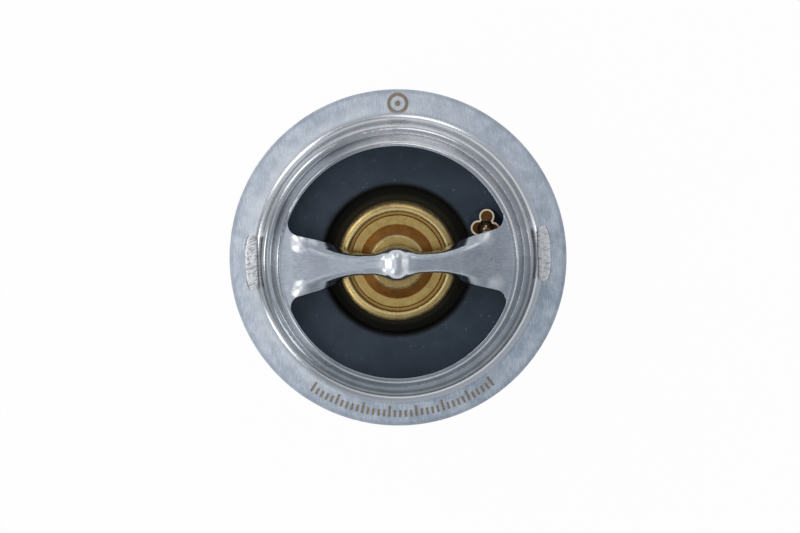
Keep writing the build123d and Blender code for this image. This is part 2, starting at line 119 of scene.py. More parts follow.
# ---------------------------------------------------------------- tones of the materials
FLANGE_TONES = ((0.42, 0.49, 0.57), (0.75, 0.80, 0.86))
FLANGE_LIT_LEFT = (0.90, 0.94, 0.98)
FLANGE_LIT_BACK = (0.92, 0.96, 0.99)
FLANGE_PAINTED_HIGHLIGHT = (0.97, 0.99, 1.0)
FLANGE_WORN = (0.34, 0.40, 0.48)
FLANGE_RIM = (0.34, 0.38, 0.43)
FLANGE_PIT = (0.16, 0.18, 0.21)
FOOT_PAINTED_HIGHLIGHT = (0.86, 0.88, 0.92)
BURNT_TONES = ((0.20, 0.125, 0.05), (0.42, 0.31, 0.18))
WALL_BACK_LIT_TONES = ((0.50, 0.52, 0.55), (0.63, 0.63, 0.64))
COLLAR_FRONT_SHADED_TONES = ((0.16, 0.18, 0.20), (0.24, 0.26, 0.28))
DOME_LEFT_SHADED_TONES = ((0.27, 0.30, 0.33), (0.35, 0.38, 0.41))
DOME_RIGHT_LIT_TONES = ((0.38, 0.41, 0.45), (0.50, 0.53, 0.57))
WALL_SHADE = (0.18, 0.20, 0.23)
BRIDGE_TONES = ((0.39, 0.425, 0.475), (0.57, 0.605, 0.655))
BAND_SHADE = (0.30, 0.33, 0.38)
CORNER_PAINTED_HIGHLIGHT = (0.99, 0.99, 1.0)
NUB_PAINTED_HIGHLIGHT = (0.78, 0.80, 0.84)
ZINC_TONES = ((0.50, 0.53, 0.58), (0.62, 0.65, 0.69))
TORN_LEFT_TONES = ((0.46, 0.47, 0.48), (0.98, 0.98, 0.98))
TORN_RIGHT_PAINTED_LIGHT_TONES = ((0.58, 0.61, 0.63), (1.0, 1.0, 1.0))
TORN_CRACK = (0.10, 0.10, 0.10)
TORN_OUTLINE = (0.22, 0.23, 0.25)
TORN_AROUND = (0.62, 0.67, 0.73)
BRASS_TONES = ((0.50, 0.33, 0.105), (0.62, 0.44, 0.16))
CONE_TONES = ((0.33, 0.15, 0.035), (0.43, 0.21, 0.06))
GROOVE_TONES = ((0.46, 0.29, 0.09), (0.60, 0.40, 0.14))
ROLL_TONES = ((0.66, 0.47, 0.20), (0.84, 0.66, 0.32))
BOSS_SHADE = (0.33, 0.25, 0.12)
CROWN_PAINTED_HIGHLIGHT = (0.84, 0.69, 0.34)
BOSS_EDGE_PAINTED_HIGHLIGHT = (0.95, 0.78, 0.42)
VENT_RIM_TONES = ((0.88, 0.72, 0.48), (0.98, 0.88, 0.68))
VENT_INSIDE_TONES = ((0.20, 0.085, 0.028), (0.36, 0.17, 0.06))
VENT_FLASH_TONES = ((0.022, 0.032, 0.046), (0.034, 0.048, 0.068))
RUBBER_TONES = ((0.027, 0.042, 0.062), (0.037, 0.054, 0.079))
RUBBER_LIT_LEFT_TONES = ((0.056, 0.076, 0.104), (0.076, 0.100, 0.136))
WELL_PAINTED_SHADE = (0.013, 0.013, 0.011)
WELL_PAINTED_BRASS_REFLECTION = (0.036, 0.032, 0.019)
DUST = (0.16, 0.20, 0.24)
WIRE_TONES = ((0.30, 0.31, 0.33), (0.46, 0.47, 0.49))
PLATE_TONES = ((0.48, 0.50, 0.52), (0.64, 0.66, 0.67))
CREVICE_PAINTED_SHADE = (0.02, 0.018, 0.014)
PISTON_TONES = ((0.58, 0.59, 0.61), (0.70, 0.71, 0.73))
BALL_PAINTED_REFLECTION_TONES = ((0.50, 0.34, 0.20), (0.64, 0.48, 0.33))
INNER_RUBBER_TONES = ((0.012, 0.012, 0.012), (0.02, 0.02, 0.02))
PLASTIC_TONES = ((0.62, 0.60, 0.55), (0.72, 0.70, 0.64))
WAX_TONES = ((0.45, 0.22, 0.12), (0.55, 0.30, 0.16))
NOISE_RANGE = (0.3, 0.7)                # what noise mostly stays between

# ---------------------------------------------------------------- camera and light
CAMERA_DISTANCE = 0.5
CAMERA_LENS = 113.2
CAMERA_TILT = math.radians(4.18)
CAMERA_SWAY = math.radians(0.8)
CAMERA_ROLL = math.radians(1.9)
AIM_MM = (0.37, -1.67, FLANGE_TOP_MM)
STUDIO_HEIGHTS = ((0.0, (0.96, 0.97, 0.98)), (0.16, (0.80, 0.82, 0.84)), (0.40, (0.38, 0.39, 0.41)),
                  (0.75, (0.36, 0.38, 0.41)), (1.0, (0.42, 0.45, 0.50)))
FLOOR_REACH = 3.0
FLOOR_PAPER = (0.85, 0.85, 0.85)
FLOOR_GLOW = 0.97                       # the rest of the floor is paper, which keeps a shadow
LAMPS = (
    # name, azimuth and elevation in degrees, distance and size in metres, radiance
    ("key", 140, 38, 0.7, (0.24, 0.34), 3.0),
    ("left", 178, 19, 0.7, (0.16, 0.16), 6.5),
    ("front", 215, 34, 0.7, (0.20, 0.34), 3.0),
    ("overhead", 190, 72, 0.55, (0.22, 0.22), 0.8),
    ("right", 3, 22, 0.6, (0.10, 0.10), 3.2),
    ("back", 76, 42, 0.6, (0.22, 0.22), 1.8),
)


# ---------------------------------------------------------------- shader helper
class Look:
    """A procedural material, with short calls that add its nodes.

    x, y and z are the place in millimetres, radius is the distance from the object's axis,
    rise is the height above the flange's top face, and angle runs round the axis in radians.
    """

    MIX_INPUTS = (0, 6, 7)              # factor and the two colours of a Mix node
    MIX_OUTPUT = 2

    def __init__(self, name):
        self.material = bpy.data.materials.new(name)
        self.material.use_nodes = True
        tree = self.material.node_tree
        self.nodes, self.links = tree.nodes, tree.links
        self.nodes.clear()
        output = self.nodes.new("ShaderNodeOutputMaterial")
        self.shader = self.nodes.new("ShaderNodeBsdfPrincipled")
        self.links.new(self.shader.outputs[0], output.inputs["Surface"])
        self.coordinates = self.nodes.new("ShaderNodeTexCoord").outputs
        scaled = self.nodes.new("ShaderNodeVectorMath")
        scaled.operation = "SCALE"
        scaled.inputs["Scale"].default_value = 1 / MM
        self.links.new(self.coordinates["Object"], scaled.inputs[0])
        self.place = scaled.outputs[0]
        self.x, self.y, self.z = self.axes(self.place)
        self.rise = self.minus(self.z, FLANGE_TOP_MM)
        self.radius = self.length(self.x, self.y)
        self.angle = self.math("ARCTAN2", self.y, self.x)
        self.normal = None

    def put(self, socket, value):
        """Set a socket to a constant, or join it to another node's output."""
        if isinstance(value, bpy.types.NodeSocket):
            self.links.new(value, socket)
        elif hasattr(value, "__len__") and len(value) == 3 and socket.type == "RGBA":
            socket.default_value = (*value, 1)
        else:
            socket.default_value = value

    def set(self, **values):
        """Set the surface shader's sockets by name, with _ for a space."""
        for name, value in values.items():
            self.put(self.shader.inputs[name.replace("_", " ")], value)

    def math(self, operation, a, b=0.0):
        node = self.nodes.new("ShaderNodeMath")
        node.operation = operation
        self.put(node.inputs[0], a)
        self.put(node.inputs[1], b)
        return node.outputs[0]

    def add(self, a, b):
        return self.math("ADD", a, b)

    def minus(self, a, b):
        return self.math("SUBTRACT", a, b)

    def times(self, a, b):
        return self.math("MULTIPLY", a, b)

    def larger(self, a, b):
        return self.math("MAXIMUM", a, b)

    def size(self, a):
        """A number without its sign."""
        return self.math("ABSOLUTE", a)

    def inverse(self, a):
        return self.minus(1.0, a)

    def blend(self, first, *others):
        """Sum of pairs, each a value and its weight."""
        total = self.times(*first)
        for pair in others:
            total = self.add(total, self.times(*pair))
        return total

    def axes(self, vector):
        """The three numbers of a vector."""
        node = self.nodes.new("ShaderNodeSeparateXYZ")
        self.links.new(vector, node.inputs[0])
        return node.outputs

    def join(self, x, y, z):
        """A vector from three numbers."""
        node = self.nodes.new("ShaderNodeCombineXYZ")
        for socket, value in zip(node.inputs, (x, y, z)):
            self.put(socket, value)
        return node.outputs[0]

    def stretched(self, turn, scale):
        """Place scaled along each axis and then turned about Z."""
        node = self.nodes.new("ShaderNodeMapping")
        node.vector_type = "POINT"
        self.put(node.inputs["Vector"], self.place)
        node.inputs["Rotation"].default_value = (0, 0, math.radians(turn))
        node.inputs["Scale"].default_value = scale
        return node.outputs[0]

    def upright(self):
        """1 where the surface faces straight up, 0 where it stands upright."""
        return self.axes(self.coordinates["Normal"])[2]

    def length(self, x, y):
        """Length in plan of an arrow with these two sides."""
        return self.math("SQRT", self.add(self.times(x, x), self.times(y, y)))

    def away_from(self, x, y):
        """Distance in plan from a point."""
        return self.length(self.minus(self.x, x), self.minus(self.y, y))

    def ramp(self, value, low, high, start=0.0, end=1.0):
        """Smooth step from start, at low, to end, at high."""
        node = self.nodes.new("ShaderNodeMapRange")
        node.interpolation_type = "SMOOTHSTEP"
        for socket, number in zip(node.inputs, (value, low, high, start, end)):
            self.put(socket, number)
        return node.outputs[0]

    def fall(self, value, low, high):
        """Smooth step down, from 1 at low to 0 at high."""
        return self.ramp(value, low, high, 1.0, 0.0)

    def band(self, value, low, high, soft):
        """1 between low and high, with soft edges, and 0 elsewhere."""
        rising = self.ramp(value, low - soft, low + soft)
        falling = self.fall(value, high - soft, high + soft)
        return self.times(rising, falling)

    def vary(self, value, low, high):
        """Noise spread out between two numbers."""
        return self.ramp(value, *NOISE_RANGE, low, high)

    def mix(self, factor, a, b):
        node = self.nodes.new("ShaderNodeMix")
        node.data_type = "RGBA"
        for index, value in zip(self.MIX_INPUTS, (factor, a, b)):
            self.put(node.inputs[index], value)
        return node.outputs[self.MIX_OUTPUT]

    def tint(self, colour, mask, share, other):
        """A colour moved by a share towards another one inside a mask."""
        return self.mix(self.times(mask, share), colour, other)

    def noise(self, scale, detail=3.0, roughness=0.5, place=None):
        node = self.nodes.new("ShaderNodeTexNoise")
        self.put(node.inputs["Vector"], self.place if place is None else place)
        node.inputs["Scale"].default_value = scale
        node.inputs["Detail"].default_value = detail
        node.inputs["Roughness"].default_value = roughness
        return node.outputs["Fac"]

    def rings(self, scale):
        """Fine turning or drawing marks that run round the axis."""
        round_axis = 0.6
        place = self.join(self.times(self.radius, scale), self.times(self.z, scale),
                          self.times(self.angle, round_axis))
        return self.noise(1.0, 3.0, 0.6, place)

    def cells(self, scale):
        """Distance to the nearest cell point, and a random number for each cell."""
        node = self.nodes.new("ShaderNodeTexVoronoi")
        self.put(node.inputs["Vector"], self.place)
        node.inputs["Scale"].default_value = scale
        split = self.nodes.new("ShaderNodeSeparateColor")
        self.links.new(node.outputs["Color"], split.inputs[0])
        return node.outputs["Distance"], split.outputs[0]

    def shade_with(self, normal):
        """Use a normal for the surface, and put later bumps on top of it."""
        self.normal = normal
        self.links.new(normal, self.shader.inputs["Normal"])

    def bump(self, height, depth_mm, strength=1.0):
        """Add a bump of a real depth on top of those before it."""
        node = self.nodes.new("ShaderNodeBump")
        node.inputs["Distance"].default_value = depth_mm * MM
        self.put(node.inputs["Strength"], strength)
        self.put(node.inputs["Height"], height)
        if self.normal is not None:
            self.links.new(self.normal, node.inputs["Normal"])
        self.shade_with(node.outputs[0])

    def soften(self, radius):
        """Round sharp edges a little, by a radius in metres, for the light only."""
        node = self.nodes.new("ShaderNodeBevel")
        node.samples = 8
        self.put(node.inputs["Radius"], radius)
        self.shade_with(node.outputs[0])


def assign(look, *nodes):
    """Give CAD nodes a material in each of their slots."""
    for name in nodes:
        for slot in frame["nodes"][name].material_slots:
            slot.material = look.material


# ---------------------------------------------------------------- drawn stainless frame
def etched_scale(look):
    """Plain scale of ticks along the front of the flange."""
    first, last = SCALE_DEGREES
    degrees = look.times(look.angle, math.degrees(1))
    step = look.times(look.minus(degrees, first), 1 / SCALE_PITCH_DEGREES)
    tick = look.band(look.math("FRACT", step), *TICK_SHARE, 0.08)
    longer = look.math("LESS_THAN", look.math("FRACT", look.times(step, 1 / TICK_GROUP)), 1 / TICK_GROUP)
    inner = look.minus(TICK_INNER_MM, look.times(longer, LONGER_TICK_MM))
    long_enough = look.math("GREATER_THAN", look.radius, inner)
    ends = look.times(look.band(degrees, first, last, 0.05), look.fall(look.radius, *TICK_OUTER_MM))
    return look.times(look.times(tick, long_enough), ends)


def etched_marks(look):
    """Plain laser marks of the flange: a ring with a dot at the back, and the scale in front."""
    reach = look.away_from(*RING_PLACE_MM)
    ring = look.band(reach, *RING_MM, 0.1)
    dot = look.fall(reach, *DOT_MM)
    return look.larger(look.larger(ring, dot), etched_scale(look))


def flange_colour(look, grain, cloud, speckle, lean):
    """Rolled, bluish sheet, worn in patches and dull at its rim, with painted light: lighter towards the
    lamps and at the back right, and a painted highlight beside the collar.
    """
    tone = look.blend((grain, 0.4), (cloud, 0.35), (speckle, 0.25))
    far_right = look.times(look.ramp(look.y, -8, 16), look.ramp(look.x, -14, 6))
    painted_highlight_by_collar = look.times(look.ramp(look.radius, *COLLAR_HIGHLIGHT_MM, 1.0, 0.15), look.ramp(lean, -14, 16))
    colour = look.mix(look.ramp(tone, 0.40, 0.60), *FLANGE_TONES)
    # painted light: the flange is lighter towards the lamps at the left, and at the back right
    colour = look.tint(colour, look.ramp(lean, -20, 30), 0.35, FLANGE_LIT_LEFT)
    colour = look.tint(colour, far_right, 0.40, FLANGE_LIT_BACK)
    # painted highlight on the flange beside the collar's foot
    colour = look.tint(colour, painted_highlight_by_collar, 0.72, FLANGE_PAINTED_HIGHLIGHT)
    colour = look.mix(look.ramp(tone, 0.40, 0.58, 0.34, 0.0), colour, FLANGE_WORN)
    return look.tint(colour, look.ramp(look.radius, *FLANGE_RIM_MM), 0.35, FLANGE_RIM)


def wall_colour(look, draw, cloud):
    """Drawn walls with painted light: lighter at the back, a painted shade on the collar in front and at the
    far left, and the dome darker on its left than on its right.
    """
    tone = look.ramp(look.blend((draw, 0.3), (cloud, 0.7)), *NOISE_RANGE)
    # painted light: the dome is shaded on its left and lighter on its right
    dome = look.mix(look.ramp(look.x, -14, 10), look.mix(tone, *DOME_LEFT_SHADED_TONES),
                    look.mix(tone, *DOME_RIGHT_LIT_TONES))
    # painted shade on the collar in front
    front = look.mix(look.ramp(look.radius, *SHOULDER_MM), dome, look.mix(tone, *COLLAR_FRONT_SHADED_TONES))
    # painted light: the walls at the back are lighter than those in front
    colour = look.mix(look.ramp(look.y, -12, 26), front, look.mix(tone, *WALL_BACK_LIT_TONES))
    far_left = look.band(look.angle, math.radians(108), math.radians(172), 0.25)
    on_dome = look.ramp(look.radius, SHOULDER_MM[0], SHOULDER_MM[0] + 0.5, 0.8, 0.3)
    return look.mix(look.times(far_left, on_dome), colour, WALL_SHADE)


def bridge_colour(look, streak, cloud, speckle, corner_lift_and_highlight):
    """Brushed along its length, with a painted shade at the left, and painted highlights on the corners and
    the nub.
    """
    brushed = look.blend((streak, 0.45), (cloud, 0.25), (speckle, 0.3))
    colour = look.mix(look.ramp(brushed, 0.36, 0.64), *BRIDGE_TONES)
    colour = look.tint(colour, look.band(look.x, -17.0, -5.5, 1.5), 0.35, BAND_SHADE)
    # painted highlight on the bridge's corners beside the windows
    colour = look.tint(colour, corner_lift_and_highlight, 0.9, CORNER_PAINTED_HIGHLIGHT)
    # painted highlight on the nub
    return look.tint(colour, look.fall(look.radius, *NUB_MM), 0.7, NUB_PAINTED_HIGHLIGHT)


def bridge_roughness(look, streak):
    """Smooth on the folded sides, which mirror the well, and matt along the band's folds."""
    facing = look.upright()
    fold = look.times(look.band(look.size(look.x), *BAND_MM, 1.0), look.band(facing, 0.80, 0.97, 0.03))
    smooth_sides = look.ramp(facing, 0.60, 0.80, 0.18, 0.34)
    return look.add(look.add(look.vary(streak, 0.0, 0.04), smooth_sides), look.times(fold, 0.2))


def corner_lifts_and_highlights(look):
    """The bridge's flares rise a little beside the corners of the windows, and the same mask paints a
    highlight there.
    """
    corner_lift_and_highlight = 0.0
    for x, y, share in CORNER_LIFTS_AND_HIGHLIGHTS:
        corner = look.ramp(look.away_from(x, y), *CORNER_FADE_MM, share, 0.0)
        corner_lift_and_highlight = look.larger(corner, corner_lift_and_highlight)
    return corner_lift_and_highlight


def frame_steel():
    """Drawn stainless sheet: rolled grain on the flange, smooth draw marks above it."""
    look = Look("frame_steel")
    window_edge = (WINDOW_RADIUS_MM - WINDOW_FADE_MM, WINDOW_RADIUS_MM + WINDOW_FADE_MM)
    level = look.band(look.rise, *FLANGE_LEVELS_MM, 0.15)
    flange = look.times(level, look.ramp(look.radius, *FLANGE_START_MM))
    wall = look.times(look.inverse(flange), look.ramp(look.radius, *window_edge))
    bridge = look.fall(look.radius, *window_edge)
    foot = look.times(look.band(look.radius, *FOOT_MM, 0.25), look.band(look.rise, -0.5, 1.6, 0.2))
    lean = look.blend((look.x, -0.9), (look.y, 0.35))       # grows towards the brightest lamps
    corner_lift_and_highlight = corner_lifts_and_highlights(look)

    grain = look.noise(1.0, 4.0, 0.6, look.stretched(27, (9.0, 0.45, 1.0)))
    speckle = look.noise(4.5, 4.0, 0.75)
    cloud = look.noise(0.30, 4.0, 0.65)
    draw = look.rings(5.0)
    streak = look.noise(1.0, 3.0, 0.6, look.stretched(0, (0.35, 4.0, 4.0)))

    colour = look.mix(bridge, wall_colour(look, draw, cloud),
                      bridge_colour(look, streak, cloud, speckle, corner_lift_and_highlight))
    colour = look.mix(flange, colour, flange_colour(look, grain, cloud, speckle, lean))
    # painted highlight on the collar's foot, stronger towards the lamps
    colour = look.mix(look.times(foot, look.ramp(lean, -16, 14, 0.85, 0.35)), colour, FOOT_PAINTED_HIGHLIGHT)
    pits = look.times(flange, look.ramp(look.noise(2.6, 2.0, 0.5), 0.70, 0.76))
    colour = look.tint(colour, pits, 0.5, FLANGE_PIT)
    top_face = look.times(flange, look.ramp(look.rise, -0.5, -0.2))
    burnt = look.mix(look.ramp(speckle, 0.4, 0.6), *BURNT_TONES)
    colour = look.tint(colour, look.times(top_face, etched_marks(look)), 0.85, burnt)

    rough = look.blend((flange, look.vary(speckle, 0.34, 0.44)), (wall, look.vary(draw, 0.20, 0.28)),
                       (bridge, bridge_roughness(look, streak)))
    look.set(Base_Color=colour, Metallic=1.0, Roughness=rough)
    look.soften(look.ramp(look.radius, *NUB_EDGE_MM, 0.8 * MM, 0.15 * MM))
    look.bump(grain, 0.02, look.times(flange, 0.7))
    look.bump(speckle, 0.012, look.times(flange, 0.9))
    look.bump(draw, 0.002, look.times(wall, 0.6))
    look.bump(streak, 0.006, look.times(bridge, 0.6))
    look.bump(corner_lift_and_highlight, 0.45, bridge)
    return look


# ---------------------------------------------------------------- strap and its stakes
def torn_colour(look, hammer, to_right):
    """Torn face of a stake, with a crack inside it and a thin outline round its far side; the right stake's
    face is painted lighter, as painted light.
    """
    half_across, half_along = STAKE_SIZE_MM[0] / 2, STAKE_SIZE_MM[1] / 2
    left = look.mix(look.ramp(hammer, 0.38, 0.54), *TORN_LEFT_TONES)
    # painted light: the right stake's face is lighter than the left one's
    right = look.mix(look.ramp(hammer, 0.38, 0.50), *TORN_RIGHT_PAINTED_LIGHT_TONES)
    out = look.size(look.x)
    crack = look.fall(out, TAB_RADIUS_MM - 1.28, TAB_RADIUS_MM - 1.05)
    along = look.size(look.times(look.y, 1 / half_along))
    taper = look.times(look.math("POWER", along, 4.0), STAKE_TAPER * half_across)
    past = look.minus(out, look.minus(TAB_RADIUS_MM + half_across, taper))
    colour = look.tint(look.mix(to_right, left, right), crack, 0.8, TORN_CRACK)
    colour = look.mix(look.band(past, -0.05, 0.12, 0.05), colour, TORN_OUTLINE)
    return look.mix(look.ramp(past, 0.1, 0.2), colour, TORN_AROUND)


def strap_steel():
    """Zinc-plated strap, with a torn, hammered face on the staked tabs."""
    look = Look("strap_steel")
    tilt = math.radians(22)
    across = look.blend((look.x, -math.sin(tilt)), (look.y, math.cos(tilt)))
    along = look.blend((look.x, math.cos(tilt)), (look.y, math.sin(tilt)))
    folds = look.join(look.times(along, 1.2), look.times(across, 4.6), look.z)
    hammer = look.noise(1.0, 3.0, 0.55, folds)
    grain = look.noise(1.0, 3.0, 0.6, look.stretched(0, (0.5, 6.0, 3.0)))
    cloud = look.noise(0.5)
    staked = look.ramp(look.rise, -0.1, 0.1)
    to_right = look.ramp(look.x, *SIDES_MM)
    zinc = look.mix(look.ramp(cloud, *NOISE_RANGE), *ZINC_TONES)
    look.set(Base_Color=look.mix(staked, zinc, torn_colour(look, hammer, to_right)))
    matt = look.times(staked, look.ramp(look.x, *SIDES_MM, 0.5, 1.0))
    look.set(Metallic=look.fall(matt, 0.0, 1.0), Roughness=look.ramp(staked, 0.0, 1.0, 0.34, 0.5))
    look.bump(hammer, 0.10, look.times(staked, look.ramp(look.x, *SIDES_MM, 1.0, 0.6)))
    look.bump(grain, 0.01, look.inverse(staked))
    return look


# ---------------------------------------------------------------- brass
def brass():
    """Turned and drawn brass, darker brown on the cone and in the groove and lighter on the rolled rim, with
    a painted shade on the front of the boss and painted highlights on the rim's crown and the boss's edge.
    """
    look = Look("brass")
    turning = look.rings(7.0)
    cloud = look.noise(0.7)
    speckle = look.noise(3.0, 3.0, 0.6)
    tone = look.ramp(look.blend((cloud, 0.6), (speckle, 0.4)), *NOISE_RANGE)
    on_cover = look.band(look.rise, COVER_MM - 0.5, BOSS_TOP_MM, 0.05)
    boss = look.times(on_cover, look.fall(look.radius, BOSS_RADIUS_MM - 0.1, BOSS_RADIUS_MM + 0.05))
    boss_edge = look.times(on_cover, look.band(look.radius, *BOSS_EDGE_MM, 0.05))
    cone = look.times(on_cover, look.band(look.radius, BOSS_RADIUS_MM + 0.05, CONE_RADIUS_MM, 0.05))
    groove = look.times(on_cover, look.band(look.radius, *GROOVE_MM, 0.06))
    above_cover = look.ramp(look.rise, COVER_MM + 0.6, COVER_MM + 0.7)
    crown = look.times(above_cover, look.band(look.radius, *HEAD_CROWN_MM, 0.25))
    roll = look.ramp(look.radius, *HEAD_ROLL_MM)

    colour = look.mix(tone, *BRASS_TONES)
    colour = look.mix(cone, colour, look.mix(tone, *CONE_TONES))
    colour = look.mix(groove, colour, look.mix(tone, *GROOVE_TONES))
    # painted shade on the front of the boss
    colour = look.mix(look.times(boss, look.fall(look.y, -4.0, 1.0)), colour, BOSS_SHADE)
    colour = look.mix(roll, colour, look.mix(tone, *ROLL_TONES))
    # painted highlights on the crown of the rolled rim and on the boss's edge
    colour = look.mix(crown, colour, CROWN_PAINTED_HIGHLIGHT)
    colour = look.tint(colour, boss_edge, 0.8, BOSS_EDGE_PAINTED_HIGHLIGHT)
    dulled = look.blend((look.add(groove, roll), 0.20), (cone, 0.16))
    look.set(Base_Color=colour, Metallic=1.0, Roughness=look.add(look.vary(tone, 0.24, 0.34), dulled))
    look.soften(0.2 * MM)
    look.bump(turning, 0.004)
    look.bump(speckle, 0.006)
    return look


def depth_in_vent(look):
    """How far inside the outline of the vent's three lobes a place lies."""
    depth = look.minus(VENT_WAIST_MM, look.away_from(*VENT_MIDDLE_MM))
    for lobe in range(VENT_LOBES):
        turn = math.radians(VENT_TURN + 90 + 360 / VENT_LOBES * lobe)
        x = VENT_MIDDLE_MM[0] + VENT_REACH_MM * math.cos(turn)
        y = VENT_MIDDLE_MM[1] + VENT_REACH_MM * math.sin(turn)
        depth = look.larger(depth, look.minus(VENT_LOBE_MM, look.away_from(x, y)))
    return depth


def vent_brass():
    """Pale crimped rim, a dark, reddish inside and a shoulder flashed over with rubber."""
    look = Look("vent_brass")
    cloud = look.noise(3.0)
    depth = depth_in_vent(look)
    on_top = look.ramp(look.rise, VENT_RIM_MM - 0.12, VENT_RIM_MM - 0.04)
    rim = look.times(on_top, look.band(depth, 0.04, 0.34, 0.04))
    brassy = look.ramp(depth, -0.02, 0.04)
    below = look.mix(brassy, look.mix(cloud, *VENT_FLASH_TONES), look.mix(cloud, *VENT_INSIDE_TONES))
    look.set(Base_Color=look.mix(rim, below, look.mix(cloud, *VENT_RIM_TONES)), Metallic=brassy)
    look.set(Roughness=look.ramp(brassy, 0.0, 1.0, 0.6, 0.32), Specular_IOR_Level=0.2)
    look.bump(look.noise(8.0), 0.008)
    return look


# ---------------------------------------------------------------- rubber, wire and the rest
def valve_rubber():
    """Moulded bluish-black rubber with a few specks of dust, lighter towards the left as painted light, with
    a painted shade in the well and a painted reflection of the brass beside the head.
    """
    look = Look("valve_rubber")
    cloud = look.ramp(look.noise(0.25, 4.0, 0.6), *NOISE_RANGE)
    skin = look.noise(4.0, 3.0, 0.6)
    # painted light: the rubber is lighter towards the left
    rubber_lit_left = look.mix(look.ramp(look.x, -20.0, 4.0), look.mix(cloud, *RUBBER_LIT_LEFT_TONES),
                     look.mix(cloud, *RUBBER_TONES))
    disc = look.ramp(look.radius, WELL_RADIUS_MM + 0.1, WELL_RADIUS_MM + 1.2)
    near_head = look.fall(look.radius, HEAD_RADIUS_MM + 0.9, HEAD_RADIUS_MM + 1.5)
    # painted shade in the well, with a painted reflection of the brass beside the head
    clean = look.mix(disc, look.mix(near_head, WELL_PAINTED_SHADE, WELL_PAINTED_BRASS_REFLECTION), rubber_lit_left)
    distance, chance = look.cells(1.3)
    speck = look.math("LESS_THAN", distance, look.ramp(chance, 0.55, 1.0, 0.0, 0.24))
    dusty = look.times(look.times(speck, disc), look.ramp(look.noise(0.25), 0.45, 0.60))
    look.set(Base_Color=look.tint(clean, dusty, 0.7, DUST), Metallic=0.0)
    look.set(Roughness=look.vary(skin, 0.5, 0.62))
    look.set(Specular_IOR_Level=look.ramp(disc, 0.0, 1.0, 0.08, 0.35))
    look.bump(skin, 0.01)
    look.bump(look.noise(14.0), 0.006)
    return look


def spring_steel(name="spring_steel"):
    """Oil-tempered wire with faint drawing lines."""
    look = Look(name)
    cloud = look.noise(1.2, 3.0, 0.6)
    look.set(Base_Color=look.mix(cloud, *WIRE_TONES), Metallic=1.0, Roughness=look.vary(cloud, 0.26, 0.38))
    look.bump(look.noise(6.0), 0.006)
    return look


def plate_steel():
    """Zinc-plated pressings under the valve disc, with a painted shade in the gap beside the brass."""
    look = Look("plate_steel")
    cloud = look.noise(0.6, 4.0, 0.6)
    beside_head = look.fall(look.radius, HEAD_RADIUS_MM + 0.6, HEAD_RADIUS_MM + 1.0)
    shaded_crevice = look.times(beside_head, look.ramp(look.rise, 2.0, 3.0))
    # painted shade in the gap beside the brass head
    look.set(Base_Color=look.mix(shaded_crevice, look.mix(cloud, *PLATE_TONES), CREVICE_PAINTED_SHADE), Metallic=1.0)
    look.set(Roughness=look.vary(cloud, 0.30, 0.42))
    look.bump(look.rings(4.0), 0.005)
    return look


def piston_steel():
    """Ground and polished steel of the piston."""
    look = Look("piston_steel")
    cloud = look.noise(2.0)
    look.set(Base_Color=look.mix(cloud, *PISTON_TONES), Metallic=1.0)
    look.set(Roughness=look.vary(cloud, 0.16, 0.22))
    look.bump(look.rings(8.0), 0.002)
    return look


def ball_steel():
    """Steel ball, coloured brown as a painted reflection of the brass chamber round it."""
    look = Look("ball_steel")
    cloud = look.noise(1.5)
    # painted reflection: brown tones stand in for the brass round the ball
    look.set(Base_Color=look.mix(cloud, *BALL_PAINTED_REFLECTION_TONES))
    look.set(Metallic=look.vary(cloud, 0.65, 0.80), Roughness=look.vary(cloud, 0.11, 0.15))
    look.bump(look.noise(6.0), 0.002)
    return look


def moulded(name, tones, rough):
    """Plain moulded rubber, plastic or wax that is sealed inside the element."""
    look = Look(name)
    cloud = look.noise(0.8)
    look.set(Base_Color=look.mix(cloud, *tones), Metallic=0.0, Roughness=look.vary(cloud, rough, rough + 0.1))
    look.bump(look.noise(5.0), 0.01)
    return look


def paint_nodes(strap):
    """Give every CAD node its material."""
    assign(frame_steel(), "upper_frame")
    assign(strap, "lower_frame")
    assign(brass(), "element_cup", "element_cover")
    assign(vent_brass(), "vent_body")
    assign(valve_rubber(), "valve_seal")
    assign(plate_steel(), "valve_plate", "bypass_disc", "bypass_stem", "stop_washer")
    assign(piston_steel(), "piston")
    assign(ball_steel(), "vent_ball")
    assign(spring_steel("clip_steel"), "retaining_ring")
    assign(moulded("inner_rubber", INNER_RUBBER_TONES, 0.6), "guide_seal", "rubber_boot")
    assign(moulded("washer_plastic", PLASTIC_TONES, 0.4), "boot_washer")
    assign(moulded("wax", WAX_TONES, 0.5), "wax_charge")


# ---------------------------------------------------------------- pieces of the visual model
def new_object(name, data):
    """Put a mesh, light or camera in the scene."""
    made = bpy.data.objects.new(name, data)
    bpy.context.collection.objects.link(made)
    return made


def finished(name, mesh):
    """A piece from a mesh under construction, smooth on its quads and flat on its ends."""
    quad = 4
    bmesh.ops.recalc_face_normals(mesh, faces=mesh.faces)
    data = bpy.data.meshes.new(name)
    mesh.to_mesh(data)
    mesh.free()
    for face in data.polygons:
        face.use_smooth = len(face.vertices) == quad
    return new_object(name, data)


COIL_SIDES = 24
COIL_STEPS = 60                         # points of the centre line in each turn
COILS = (
    # node, wire, radii at its two ends, heights of its ends, free turns, body that it rides on,
    # joint that presses it, length when pressed
    ("main_spring", 2.4, (16.0, 12.4), (BASE_SEAT_MM, DISC_SEAT_MM), 3.5, "frame", "element_slide", 16.7),
    ("bypass_spring", 1.4, (6.8, 6.8), (BYPASS_HUB_MM, STEM_HEAD_MM), 3.0, "element", "bypass_slide", 6.9),
)


